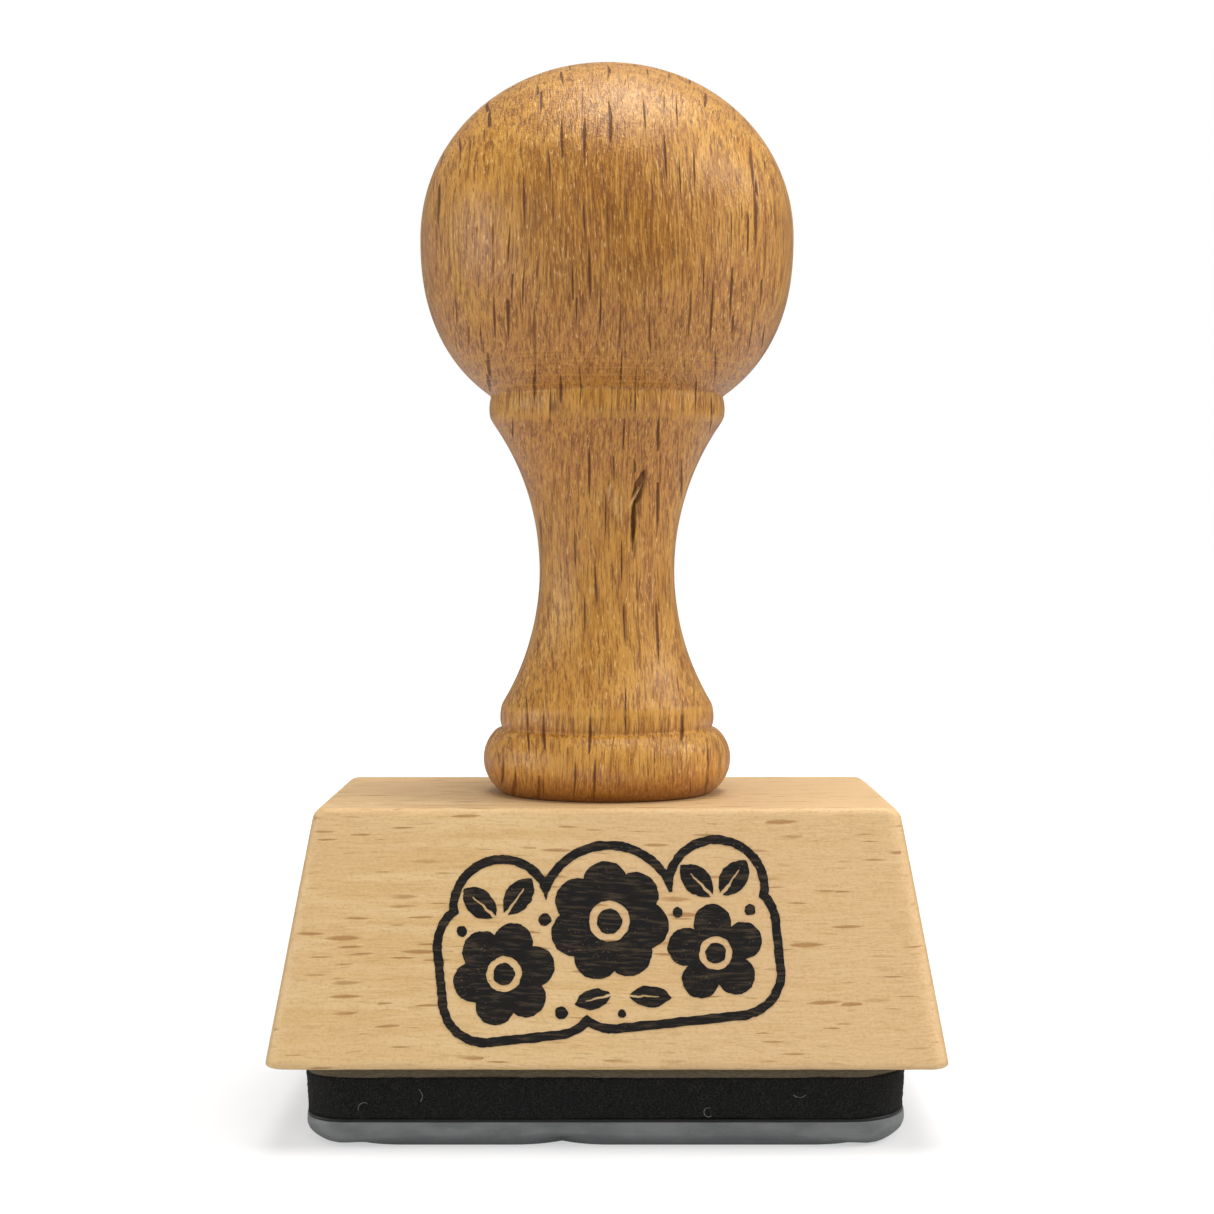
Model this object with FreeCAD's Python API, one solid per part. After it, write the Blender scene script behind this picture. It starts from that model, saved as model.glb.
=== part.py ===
"""Hand rubber stamp: a turned knob handle screwed to a tapered wooden mount block, with a foam cushion
and an engraved rubber die glued beneath it.

Frame: millimetres, +Z up. The origin is the centre of the printing face, so the stamp stands on z = 0 as
it does on paper. +X is to the right and +Y points away from a person who reads the printed mark on the
front (-Y) face. Each piece is written to parts/NODE.step as its own solid or group of solids.
"""

import FreeCAD
import Part

import math
import os

V = FreeCAD.Vector

# ---- Driving dimensions, in millimetres ----------------------------------------------------------

# Cushion stack. The tape, foam, film and die share one outline, cut in a single pass.
PAD_LENGTH = 54.0
PAD_DEPTH = 32.5
PAD_CORNER_LEFT = 4.2
PAD_CORNER_RIGHT = 6.2
RELIEF_HEIGHT = 0.9
DIE_PLATE = 1.35
FILM_THICKNESS = 0.25
FOAM_THICKNESS = 3.7
TAPE_THICKNESS = 1.1

# Mount block: a four-sided frustum with eased edges.
BLOCK_LENGTH = 60.0
BLOCK_DEPTH = 36.5
BLOCK_HEIGHT = 22.4
BLOCK_TAPER = 4.0
CORNER_EASE = 0.9
EDGE_EASE = 0.5

# Handle: radii and heights above the block's top face.
CONTACT_RADIUS = 9.7
BEAD_RADIUS = 11.65
BEAD_HEIGHT = 3.1
SEAM_RADIUS = 10.35
SEAM_HEIGHT = 6.05
SHOULDER_RADIUS = 10.02
SHOULDER_HEIGHT = 7.5
SHOULDER_CROWN = 0.06
WAIST_RADIUS = 6.36
WAIST_HEIGHT = 20.95
WAIST_SWEEP = 24.0
WAIST_LOW = 8.35
WAIST_HIGH = 34.55
RING_RADIUS = 11.02
RING_LOW = 35.6
RING_TOP = 37.3
RING_CROWN = 0.1
BALL_RADIUS = 17.5
BALL_CENTRE = 52.0
BALL_CROWN = 16.2
BALL_UNDERSIDE = 17.55
BALL_CROWN_FULLNESS = 2.03
BALL_UNDERSIDE_FULLNESS = 2.31
BALL_SPANS = 8

# Dowel screw that holds the handle on: a wood thread at both ends of one shank.
SCREW_CORE_RADIUS = 1.45
SCREW_THREAD_RADIUS = 2.1
SCREW_PITCH = 1.8
SCREW_REACH_UP = 17.0
SCREW_REACH_DOWN = 14.0
SCREW_COLLAR = 2.0
SCREW_POINT = 2.6
SCREW_TIP_RADIUS = 0.25
THREAD_ROOT_DEPTH = 0.15
THREAD_ROOT_WIDTH = 1.08
THREAD_CREST_WIDTH = 0.2
PILOT_RADIUS = 1.7
PILOT_SPARE = 1.5
DRILL_POINT = 1.0

# Printed mark, at the size of the die: blossoms and leaves inside one heavy line that follows their outline.
MARK_LINE = 1.3
MARK_SHIFT = -1.6
LEAF_GAP = 0.75
SHOULDER_STEP = 0.2
EYE_SHARE = 0.21
EYE_RING_SHARE = 0.34
PETAL_SHARE = 0.385
RIB_WIDTH_SHARE = 0.14
RIB_LENGTH_SHARE = 0.72
LEAF_BELLY_SHARE = 0.46
INDEX_SCALE = 0.61
INDEX_TILT = 6.0
INDEX_FILM = 0.05
INDEX_CENTRE_UP = 11.4
# The room inside the line is the union of blocks (x from, x to, y from, y to, corner radius) and of
# bumps (x, y, radius).
ROOM_BLOCKS = [
    (-23.7, -2.6, -12.2, 6.4, 5.5),
    (-5.4, 23.7, -12.2, 5.6, 5.5),
]
ROOM_BUMPS = [
    (-14.6, 5.9, 6.3),
    (0.6, 3.4, 9.2),
    (16.4, 5.5, 6.3),
]
# Blossoms of the mark: (x, y, reach, petals, turn in degrees).
BLOSSOMS = [
    (-15.2, -3.5, 7.4, 6, 8.0),
    (0.6, 2.4, 8.6, 7, 90.0),
    (15.3, -3.7, 7.0, 5, 18.0),
]
# Leaves of the mark: (x and y of the stalk end, length, width, direction in degrees).
LEAVES = [
    (-14.2, 4.9, 6.4, 3.8, 48.0),
    (-15.6, 4.6, 6.2, 3.8, 132.0),
    (17.0, 4.4, 6.2, 3.8, 48.0),
    (15.8, 4.4, 6.4, 3.8, 130.0),
    (2.2, -8.4, 6.2, 3.0, -8.0),
    (-0.2, -8.0, 5.4, 2.9, 188.0),
]
# Berries of the mark: (x, y, radius).
BERRIES = [
    (-7.6, -9.8, 0.9),
    (-20.6, 3.2, 0.8),
    (-8.6, 3.6, 0.9),
    (10.5, 2.6, 0.75),
    (20.9, 1.9, 0.8),
    (1.0, -10.8, 0.6),
]

# ---- Levels that follow from the thicknesses -----------------------------------------------------

PLATE_Z = RELIEF_HEIGHT
FILM_Z = PLATE_Z + DIE_PLATE
FOAM_Z = FILM_Z + FILM_THICKNESS
TAPE_Z = FOAM_Z + FOAM_THICKNESS
BLOCK_Z = TAPE_Z + TAPE_THICKNESS
HANDLE_Z = BLOCK_Z + BLOCK_HEIGHT


# ---- Small helpers -------------------------------------------------------------------------------


def polygon_wire(points):
    return Part.makePolygon([*points, points[0]])


def disc(x, y, radius):
    return Part.Face(Part.Wire(Part.makeCircle(radius, V(x, y, 0))))


def fused(shapes):
    whole = shapes[0].multiFuse(shapes[1:]) if len(shapes) > 1 else shapes[0]
    return whole.removeSplitter()


def rounded_rectangle(x0, x1, y0, y1, left, right):
    """A face in the XY plane whose two left corners and two right corners have their own radii."""
    corners = [(x0, y0, left, 180), (x1, y0, right, 270), (x1, y1, right, 0), (x0, y1, left, 90)]
    arcs = []
    for x, y, radius, start in corners:
        centre = V(x + math.copysign(radius, x0 + x1 - 2 * x), y + math.copysign(radius, y0 + y1 - 2 * y), 0)
        turns = [math.radians(start + share) for share in (0, 45, 90)]
        arcs.append([centre + V(radius * math.cos(t), radius * math.sin(t), 0) for t in turns])
    edges = []
    for here, after in zip(arcs, arcs[1:] + arcs[:1]):
        edges.append(Part.Arc(*here).toShape())
        edges.append(Part.LineSegment(here[-1], after[0]).toShape())
    return Part.Face(Part.Wire(edges))


def slab(face, bottom, thickness):
    """The face, raised to the bottom level and given a thickness."""
    lifted = face.copy()
    lifted.translate(V(0, 0, bottom))
    return lifted.extrude(V(0, 0, thickness))


# ---- The printed mark, as flat faces -------------------------------------------------------------


def mark_line():
    """The band MARK_LINE wide around the room that the blossoms and leaves stand in."""
    blocks = [rounded_rectangle(x0, x1, y0, y1, r, r) for x0, x1, y0, y1, r in ROOM_BLOCKS]
    bumps = [disc(*bump) for bump in ROOM_BUMPS]
    room = fused(blocks + bumps).Faces[0]
    return room.makeOffset2D(MARK_LINE).cut(room)


def blossom(x, y, reach, petals, turn):
    """Round petals about an eye, which a thin ring keeps apart from them."""
    petal = reach * PETAL_SHARE
    out = reach - petal
    discs = [disc(x, y, out)]
    for k in range(petals):
        angle = math.radians(turn + 360 * k / petals)
        discs.append(disc(x + out * math.cos(angle), y + out * math.sin(angle), petal))
    ring = disc(x, y, reach * EYE_RING_SHARE).cut(disc(x, y, reach * EYE_SHARE))
    return fused(discs).cut(ring)


def leaf(x, y, length, width, direction):
    """Two arcs that meet in a stalk end and a tip, split by a slender midrib from the stalk end."""
    stalk = V(0, 0, 0)
    tip = V(length, 0, 0)
    belly = length * LEAF_BELLY_SHARE
    upper = Part.Arc(stalk, V(belly, width / 2, 0), tip)
    lower = Part.Arc(tip, V(belly, -width / 2, 0), stalk)
    half_rib = width * RIB_WIDTH_SHARE / 2
    rib_end = length * RIB_LENGTH_SHARE
    rib = polygon_wire(
        [
            V(-half_rib, -half_rib, 0),
            V(rib_end, -half_rib / 3, 0),
            V(rib_end, half_rib / 3, 0),
            V(-half_rib, half_rib, 0),
        ]
    )
    shape = Part.Face(Part.Wire([upper.toShape(), lower.toShape()])).cut(Part.Face(rib))
    shape.rotate(V(0, 0, 0), V(0, 0, 1), direction)
    shape.translate(V(x, y, 0))
    return shape


def mark_faces():
    """Every inked area of the mark as a list of faces that don't touch each other."""
    blossoms = [blossom(*b) for b in BLOSSOMS]
    clearings = [disc(x, y, reach + LEAF_GAP) for x, y, reach, _, _ in BLOSSOMS]
    leaves = [leaf(*item).cut(clearings) for item in LEAVES]
    berries = [disc(*b) for b in BERRIES]
    shapes = [mark_line(), *blossoms, *leaves, *berries]
    return [face for shape in shapes for face in shape.Faces]


# ---- The pieces ----------------------------------------------------------------------------------


def pad_outline():
    return rounded_rectangle(
        -PAD_LENGTH / 2, PAD_LENGTH / 2, -PAD_DEPTH / 2, PAD_DEPTH / 2, PAD_CORNER_LEFT, PAD_CORNER_RIGHT
    )


def rubber_die():
    """The engraved rubber sheet: a base plate with the mark raised beneath it on a wider shoulder."""
    solids = [slab(pad_outline(), PLATE_Z, DIE_PLATE)]
    for face in mark_faces():
        face.translate(V(0, MARK_SHIFT, 0))
        shoulder = face.makeOffset2D(SHOULDER_STEP)
        solids.append(slab(face, 0, RELIEF_HEIGHT))
        solids.append(slab(shoulder, RELIEF_HEIGHT / 2, RELIEF_HEIGHT / 2))
    return fused(solids)


def die_film():
    return slab(pad_outline(), FILM_Z, FILM_THICKNESS)


def foam_cushion():
    return slab(pad_outline(), FOAM_Z, FOAM_THICKNESS)


def mounting_tape():
    return slab(pad_outline(), TAPE_Z, TAPE_THICKNESS)


def pilot_hole(reach, joint_z, direction):
    """The blind hole that takes one end of the dowel screw, with the drill's cone at its end."""
    axis = V(0, 0, direction)
    depth = reach + PILOT_SPARE
    bore = Part.makeCylinder(PILOT_RADIUS, depth, V(0, 0, joint_z), axis)
    cone = Part.makeCone(PILOT_RADIUS, 0, DRILL_POINT, V(0, 0, joint_z + direction * depth), axis)
    return bore.fuse(cone)


def mount_block():
    """The tapered wooden block, drilled from above for the screw."""
    levels = [(BLOCK_Z, 0.0), (HANDLE_Z, BLOCK_TAPER)]
    outlines = []
    for z, inset in levels:
        x = BLOCK_LENGTH / 2 - inset
        y = BLOCK_DEPTH / 2 - inset
        outlines.append(polygon_wire([V(-x, -y, z), V(x, -y, z), V(x, y, z), V(-x, y, z)]))
    block = Part.makeLoft(outlines, True, True)
    upright = [e for e in block.Edges if abs(e.tangentAt(e.FirstParameter).z) > 0.5]
    block = block.makeFillet(CORNER_EASE, upright)
    rims = [e for e in block.Edges if e.BoundBox.ZLength < EDGE_EASE]
    block = block.makeFillet(EDGE_EASE, rims)
    return block.cut(pilot_hole(SCREW_REACH_DOWN, HANDLE_Z, -1))


def ball_outline(half_height, fullness, reach):
    """The ball's outline from its widest point to a height above it, or below it if the reach is negative."""
    points = []
    for k in range(BALL_SPANS + 1):
        rise = reach * math.sin(math.pi / 2 * k / BALL_SPANS)
        radius = BALL_RADIUS * (1 - abs(rise / half_height) ** fullness) ** (1 / fullness)
        points.append(V(radius, 0, BALL_CENTRE + rise))
    closing = V(-1, 0, 0) if reach == half_height else points[-1] - points[-2]
    curve = Part.BSplineCurve()
    curve.interpolate(Points=points, InitialTangent=V(0, 0, math.copysign(1, reach)), FinalTangent=closing)
    return curve


def waist_radius(z):
    return WAIST_RADIUS + WAIST_SWEEP - math.sqrt(WAIST_SWEEP**2 - (z - WAIST_HEIGHT) ** 2)


def handle():
    """The turned handle: bead, shoulder, waist, ring and ball, as one piece of wood on the Z axis."""
    contact = V(CONTACT_RADIUS, 0, 0)
    seam_out = V(SEAM_RADIUS, 0, SEAM_HEIGHT)
    seam_in = V(SHOULDER_RADIUS, 0, SEAM_HEIGHT)
    shoulder = V(SHOULDER_RADIUS, 0, SHOULDER_HEIGHT)
    waist_low = V(waist_radius(WAIST_LOW), 0, WAIST_LOW)
    waist = V(WAIST_RADIUS, 0, WAIST_HEIGHT)
    waist_high = V(waist_radius(WAIST_HIGH), 0, WAIST_HIGH)
    ring_low = V(RING_RADIUS, 0, RING_LOW)
    underside = ball_outline(BALL_UNDERSIDE, BALL_UNDERSIDE_FULLNESS, RING_TOP - BALL_CENTRE)
    crown = ball_outline(BALL_CROWN, BALL_CROWN_FULLNESS, BALL_CROWN)
    shoulder_top = V(SHOULDER_RADIUS - SHOULDER_CROWN, 0, (SHOULDER_HEIGHT + WAIST_LOW) / 2)
    ring_edge = V(RING_RADIUS - RING_CROWN, 0, (WAIST_HIGH + RING_LOW) / 2)
    edges = [
        Part.LineSegment(V(0, 0, 0), contact),
        Part.Arc(contact, V(BEAD_RADIUS, 0, BEAD_HEIGHT), seam_out),
        Part.LineSegment(seam_out, seam_in),
        Part.LineSegment(seam_in, shoulder),
        Part.Arc(shoulder, shoulder_top, waist_low),
        Part.Arc(waist_low, waist, waist_high),
        Part.Arc(waist_high, ring_edge, ring_low),
        Part.LineSegment(ring_low, underside.EndPoint),
        underside,
        crown,
        Part.LineSegment(crown.EndPoint, V(0, 0, 0)),
    ]
    outline = Part.Wire(Part.__sortEdges__([e.toShape() for e in edges]))
    turned = Part.Face(outline).revolve(V(0, 0, 0), V(0, 0, 1), 360)
    turned.translate(V(0, 0, HANDLE_Z))
    return turned.cut(pilot_hole(SCREW_REACH_UP, HANDLE_Z, 1))


def screw_end(reach, direction):
    """One half of the dowel screw, from the joint face outwards: plain collar, helical thread and point."""
    threaded = reach - SCREW_COLLAR - SCREW_POINT
    core = Part.makeCylinder(SCREW_CORE_RADIUS, reach - SCREW_POINT)
    point = Part.makeCone(SCREW_CORE_RADIUS, SCREW_TIP_RADIUS, SCREW_POINT, V(0, 0, reach - SCREW_POINT))
    root = SCREW_CORE_RADIUS - THREAD_ROOT_DEPTH
    half_root = THREAD_ROOT_WIDTH / 2
    half_crest = THREAD_CREST_WIDTH / 2
    tooth = polygon_wire(
        [
            V(root, 0, -half_root),
            V(SCREW_THREAD_RADIUS, 0, -half_crest),
            V(SCREW_THREAD_RADIUS, 0, half_crest),
            V(root, 0, half_root),
        ]
    )
    helix = Part.makeHelix(SCREW_PITCH, threaded, SCREW_CORE_RADIUS)
    thread = Part.Wire(helix).makePipeShell([tooth], True, True)
    thread.translate(V(0, 0, SCREW_COLLAR))
    half = core.fuse(point).fuse(thread)
    if direction < 0:
        half.rotate(V(0, 0, 0), V(1, 0, 0), 180)
    return half


def dowel_screw():
    whole = screw_end(SCREW_REACH_UP, 1).fuse(screw_end(SCREW_REACH_DOWN, -1)).removeSplitter()
    whole.translate(V(0, 0, HANDLE_Z))
    return whole


def index_print():
    """The same mark, smaller, as a film of ink on the sloping front face of the block."""
    lean = math.atan2(BLOCK_TAPER, BLOCK_HEIGHT)
    shrink = FreeCAD.Matrix()
    shrink.scale(INDEX_SCALE, INDEX_SCALE, 1)
    foot = V(0, -BLOCK_DEPTH / 2, BLOCK_Z)
    up_the_face = V(0, math.sin(lean), math.cos(lean))
    upright = FreeCAD.Rotation(V(1, 0, 0), 90 - math.degrees(lean))
    tilted = FreeCAD.Rotation(V(0, 0, 1), INDEX_TILT)
    place = FreeCAD.Placement(foot + up_the_face * INDEX_CENTRE_UP, upright.multiply(tilted))
    areas = []
    for face in mark_faces():
        area = face.transformGeometry(shrink).extrude(V(0, 0, INDEX_FILM))
        area.Placement = place.multiply(area.Placement)
        areas.append(area)
    return Part.makeCompound(areas)


PIECES = {
    "handle": handle,
    "dowel_screw": dowel_screw,
    "mount_block": mount_block,
    "index_print": index_print,
    "mounting_tape": mounting_tape,
    "foam_cushion": foam_cushion,
    "die_film": die_film,
    "rubber_die": rubber_die,
}


def main():
    os.makedirs("parts", exist_ok=True)
    for node, build in PIECES.items():
        shape = build()
        if not shape.isValid() or not shape.Solids:
            raise ValueError(f"{node} isn't a valid solid")
        shape.exportStep(f"parts/{node}.step")
        box = shape.BoundBox
        print(
            f"{node}: {len(shape.Solids)} solid(s), {len(shape.Faces)} faces, {shape.Volume:.1f} mm3,"
            f" z {box.ZMin:.2f} to {box.ZMax:.2f}"
        )


main()
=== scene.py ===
"""Looks of the rubber stamp: handle, block, ink mark, foam and engraved rubber, on a pale floor."""

import itertools
import math

import bmesh
import bpy
import numpy as np
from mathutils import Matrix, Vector, noise
from mathutils.bvhtree import BVHTree
from mathutils.kdtree import KDTree


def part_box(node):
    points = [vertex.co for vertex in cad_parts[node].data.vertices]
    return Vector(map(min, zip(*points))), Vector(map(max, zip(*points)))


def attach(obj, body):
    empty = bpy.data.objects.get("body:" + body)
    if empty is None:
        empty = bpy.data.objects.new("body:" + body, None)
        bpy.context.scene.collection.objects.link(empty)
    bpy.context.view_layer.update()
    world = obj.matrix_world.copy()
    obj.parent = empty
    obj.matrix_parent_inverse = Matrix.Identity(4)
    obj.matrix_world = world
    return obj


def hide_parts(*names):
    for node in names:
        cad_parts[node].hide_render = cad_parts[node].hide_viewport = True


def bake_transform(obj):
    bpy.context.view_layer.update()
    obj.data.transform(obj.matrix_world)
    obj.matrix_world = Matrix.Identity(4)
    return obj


MM = 0.001

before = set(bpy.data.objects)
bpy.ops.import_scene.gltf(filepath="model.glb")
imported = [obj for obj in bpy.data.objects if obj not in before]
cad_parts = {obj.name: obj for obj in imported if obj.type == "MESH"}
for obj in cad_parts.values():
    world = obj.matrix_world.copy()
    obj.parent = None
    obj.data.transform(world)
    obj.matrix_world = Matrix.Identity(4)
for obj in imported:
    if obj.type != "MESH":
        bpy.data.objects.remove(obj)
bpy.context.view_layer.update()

# ---- Levels and sizes, from the frame

BLOCK_LOW, BLOCK_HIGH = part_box("mount_block")
HANDLE_LOW, HANDLE_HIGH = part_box("handle")
_, DIE_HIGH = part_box("rubber_die")
FILM_LOW, FILM_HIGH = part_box("die_film")
FOAM_LOW, FOAM_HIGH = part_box("foam_cushion")
TAPE_LOW, TAPE_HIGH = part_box("mounting_tape")

# ---- Objects and camera


def add_object(name, data):
    made = bpy.data.objects.new(name, data)
    bpy.context.scene.collection.objects.link(made)
    return made


CAMERA_DISTANCE = 214 * MM
CAMERA_ABOVE_BLOCK = 22.8 * MM
CAMERA_PITCH = math.radians(1.43)
CAMERA_LENS = 67.2


def add_camera():
    data = bpy.data.cameras.new("camera")
    data.lens = CAMERA_LENS
    data.clip_start = 10 * MM
    camera = add_object("camera", data)
    camera.location = (0.0, -CAMERA_DISTANCE, BLOCK_HIGH.z + CAMERA_ABOVE_BLOCK)
    camera.rotation_euler = (math.radians(90) - CAMERA_PITCH, 0.0, 0.0)
    bpy.context.scene.camera = camera
    bpy.context.scene.view_settings.view_transform = "Standard"


# ---- Material building


class Shader:
    """A node material with a Principled shader, and short calls that add and link nodes."""

    def __init__(self, name):
        self.material = bpy.data.materials.new(name)
        self.material.use_nodes = True
        self.tree = self.material.node_tree
        self.tree.nodes.clear()
        self.surface = self.tree.nodes.new("ShaderNodeBsdfPrincipled")
        output = self.tree.nodes.new("ShaderNodeOutputMaterial")
        self.tree.links.new(self.surface.outputs["BSDF"], output.inputs["Surface"])

    def put(self, socket, value):
        """Links a node's output to the socket, or stores a constant in it."""
        if isinstance(value, bpy.types.NodeSocket):
            self.tree.links.new(value, socket)
        elif socket.type == "RGBA":
            socket.default_value = (*value, 1.0)
        else:
            socket.default_value = value

    def set(self, **values):
        """Sets inputs of the Principled shader: base_color=..., roughness=..."""
        for name, value in values.items():
            label = name.replace("_", " ").title().replace("Ior", "IOR")
            self.put(self.surface.inputs[label], value)

    def node(self, kind, inputs, **settings):
        made = self.tree.nodes.new("ShaderNode" + kind)
        for name, value in settings.items():
            setattr(made, name, value)
        for key, value in inputs.items():
            self.put(made.inputs[key], value)
        return made

    def math(self, operation, a, b=0.0, c=0.0):
        return self.node("Math", {0: a, 1: b, 2: c}, operation=operation).outputs[0]

    def times(self, a, b, plus=0.0):
        return self.math("MULTIPLY_ADD", a, b, plus)

    def inverse(self, value):
        return self.math("SUBTRACT", 1.0, value)

    def vector(self, operation, a, b=(0.0, 0.0, 0.0)):
        made = self.node("VectorMath", {0: a, 1: b}, operation=operation)
        return made.outputs["Value" if operation == "LENGTH" else "Vector"]

    def split(self, vector):
        return self.node("SeparateXYZ", {0: vector}).outputs

    def join(self, x, y, z):
        return self.node("CombineXYZ", {0: x, 1: y, 2: z}).outputs[0]

    def millimetres(self):
        """The point on the surface in the row frame, in millimetres, at rest."""
        point = self.node("TexCoord", {}).outputs["Object"]
        return self.vector("MULTIPLY", point, (1000.0, 1000.0, 1000.0))

    def normal(self):
        return self.node("TexCoord", {}).outputs["Normal"]

    def attribute(self, name):
        return self.node("Attribute", {}, attribute_name=name).outputs["Fac"]

    def noise(self, point, stretch, detail=2.0, roughness=0.5, colour=False):
        """Noise with the given number of waves per millimetre along each axis."""
        at = self.vector("MULTIPLY", point, stretch)
        inputs = {"Vector": at, "Scale": 1.0, "Detail": detail, "Roughness": roughness}
        made = self.node("TexNoise", inputs)
        return made.outputs["Color" if colour else 0]

    def fade(self, value, low, high, to_low=0.0, to_high=1.0):
        """The value's place between low and high, eased at both ends."""
        inputs = {"Value": value, "From Min": low, "From Max": high, "To Min": to_low, "To Max": to_high}
        return self.node("MapRange", inputs, interpolation_type="SMOOTHSTEP").outputs[0]

    def mix(self, share, a, b):
        made = self.node("Mix", {}, data_type="RGBA")
        self.put(made.inputs["Factor"], share)
        self.put(made.inputs[6], a)
        self.put(made.inputs[7], b)
        return made.outputs[2]

    def tint(self, colour, value, span, tone, share=1.0):
        """Mixes the tone in as the value goes through the span, up to the given share."""
        return self.mix(self.fade(value, *span, 0.0, share), colour, tone)

    def bump(self, height, distance, socket="Normal"):
        """Surface relief: distance in metres for a height of one."""
        made = self.node("Bump", {"Height": height, "Distance": distance})
        self.put(self.surface.inputs[socket], made.outputs[0])

    def by_face(self, facing, side, front):
        """The front value where facing is 1, and the side value where it is 0."""
        return self.times(self.math("SUBTRACT", front, side), facing, plus=side)

    def grain(self, point, facing, stretch, detail=2.0, roughness=0.5):
        """Noise drawn out along the grain and, less, into the wood, on whichever face is being seen."""
        x, y, z = self.split(point)
        front = self.noise(point, stretch, detail, roughness)
        side = self.noise(self.join(y, x, z), stretch, detail, roughness)
        return self.by_face(facing, side, front)

    def flecks(self, point, facing, cell, half, share, ragged=0.0):
        """Slender lens shapes at random places, from 0 outside to 1 inside.

        The point's axes are the thin one, the deep one and the one along the grain. cell is the spacing and
        half the lens's half size, in mm. share says how many of the cells hold one, from 0 to 1.
        """
        x, y, z = self.split(point)
        masks = []
        for turned in (self.join(y, x, z), point):
            at = self.vector("DIVIDE", turned, cell)
            cells = self.node("TexVoronoi", {"Vector": at, "Scale": 1.0}).outputs
            away = self.vector("SUBTRACT", at, cells["Position"])
            reach = tuple(c / h for c, h in zip(cell, half))
            across, deep, along = self.split(self.vector("MULTIPLY", away, reach))
            across = self.math("ABSOLUTE", across)
            spread = self.times(deep, deep, plus=self.times(along, along, plus=across))
            size, pick, _ = self.split(cells["Color"])
            spread = self.times(spread, self.fade(size, 0.0, 1.0, 0.75, 2.0))
            if ragged:
                spread = self.times(self.noise(point, (5.0, 5.0, 2.0)), ragged, plus=spread)
            inside = self.fade(spread, 1.0 + ragged * 0.5, 0.35 + ragged * 0.5)
            weight = self.fade(self.math("SUBTRACT", share, pick), 0.0, 0.5)
            masks.append(self.times(inside, weight))
        return self.by_face(facing, *masks)


# ---- Wood

# Where the pattern changes from side to front, as the normal's share deep less its share across, and
# where end grain begins, as its share along.
FACE_SWITCH = (-0.75, -0.45)
END_SWITCH = (0.72, 0.95)
# How far the grain wanders across and deep, in mm.
DRIFT = (2.6, 2.6, 0.0)


class Timber:
    """Beech in the solid: its fibres, and the surface point in the axes across, deep and along the grain."""

    def __init__(self, shader, grain, fibre_size):
        self.shader = shader
        self.grain = grain
        self.place = shader.millimetres()
        across, deep, along = shader.split(self.axes(shader.normal()))
        across, deep = shader.math("ABSOLUTE", across), shader.math("ABSOLUTE", deep)
        self.facing = shader.fade(shader.math("SUBTRACT", deep, across), *FACE_SWITCH)
        self.end_grain = shader.fade(shader.math("ABSOLUTE", along), *END_SWITCH)
        point = self.axes(self.place)
        drift = shader.noise(point, (0.07, 0.07, 0.035), colour=True)
        drift = shader.vector("MULTIPLY", shader.vector("SUBTRACT", drift, (0.5, 0.5, 0.5)), DRIFT)
        self.point = shader.vector("ADD", point, drift)
        self.fibre = shader.grain(self.point, self.facing, fibre_size, detail=3.0, roughness=0.62)
        self.streak = shader.noise(self.point, (0.9, 0.9, 0.06))
        self.grit = shader.noise(self.point, (4.6, 4.6, 3.0), roughness=0.6)

    def axes(self, vector):
        x, y, z = self.shader.split(vector)
        return vector if self.grain == "Z" else self.shader.join(z, y, x)

    def flecks(self, long, short, short_share):
        """Long and short flecks together. The short ones are fainter by their share."""
        long = self.shader.flecks(self.point, self.facing, **long)
        short = self.shader.flecks(self.point, self.facing, **short)
        return self.shader.math("MAXIMUM", long, self.shader.times(short, short_share))


# Linear colours of lacquered beech.
GOLD = (0.475, 0.190, 0.014)
GOLD_LIGHT = (0.67, 0.325, 0.050)
GOLD_DARK = (0.22, 0.072, 0.005)
GLINT = (0.88, 0.54, 0.18)
# Painted shade, for the middle of the ball.
BALL_SHADE = (0.36, 0.132, 0.005)
# Rosy tone: partly the wood's own mottling, partly a painted floor reflection where the wood faces down.
ROSE = (0.47, 0.185, 0.052)
FLECK_BROWN = (0.125, 0.034, 0.000)
# Painted shade, for the handle's foot.
FOOT_SHADE = (0.27, 0.095, 0.004)
TORN = (0.12, 0.045, 0.010)
SPLINTER = (0.70, 0.42, 0.17)

# Heights in mm: the handle's foot, the crease under its ball and the two rims that get painted highlight
# lines.
FOOT = HANDLE_LOW.z / MM
CREASE = FOOT + 37.4
RIM_HIGHLIGHTS = (FOOT + 8.1, FOOT + 35.0)
# Painted shade: a darker oval on the middle of the ball, where it is least lit. Its middle height, half
# width and half height, in mm.
BALL_SHADE_MIDDLE = HANDLE_HIGH.z / MM - 17.0
BALL_SHADE_HALF = (13.0, 15.0)

# Waves per mm across, deep and along the grain.
HANDLE_FIBRES = (4.2, 0.9, 0.30)
HANDLE_THREADS = (8.5, 2.2, 0.75)
HANDLE_GLINTS = (7.5, 2.4, 1.1)
HANDLE_LONG_FLECKS = dict(cell=(2.2, 3.4, 6.2), half=(0.19, 3.0, 3.3), share=1.15, ragged=0.45)
HANDLE_SHORT_FLECKS = dict(cell=(1.3, 1.6, 2.9), half=(0.09, 1.2, 1.2), share=0.55, ragged=0.4)


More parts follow.
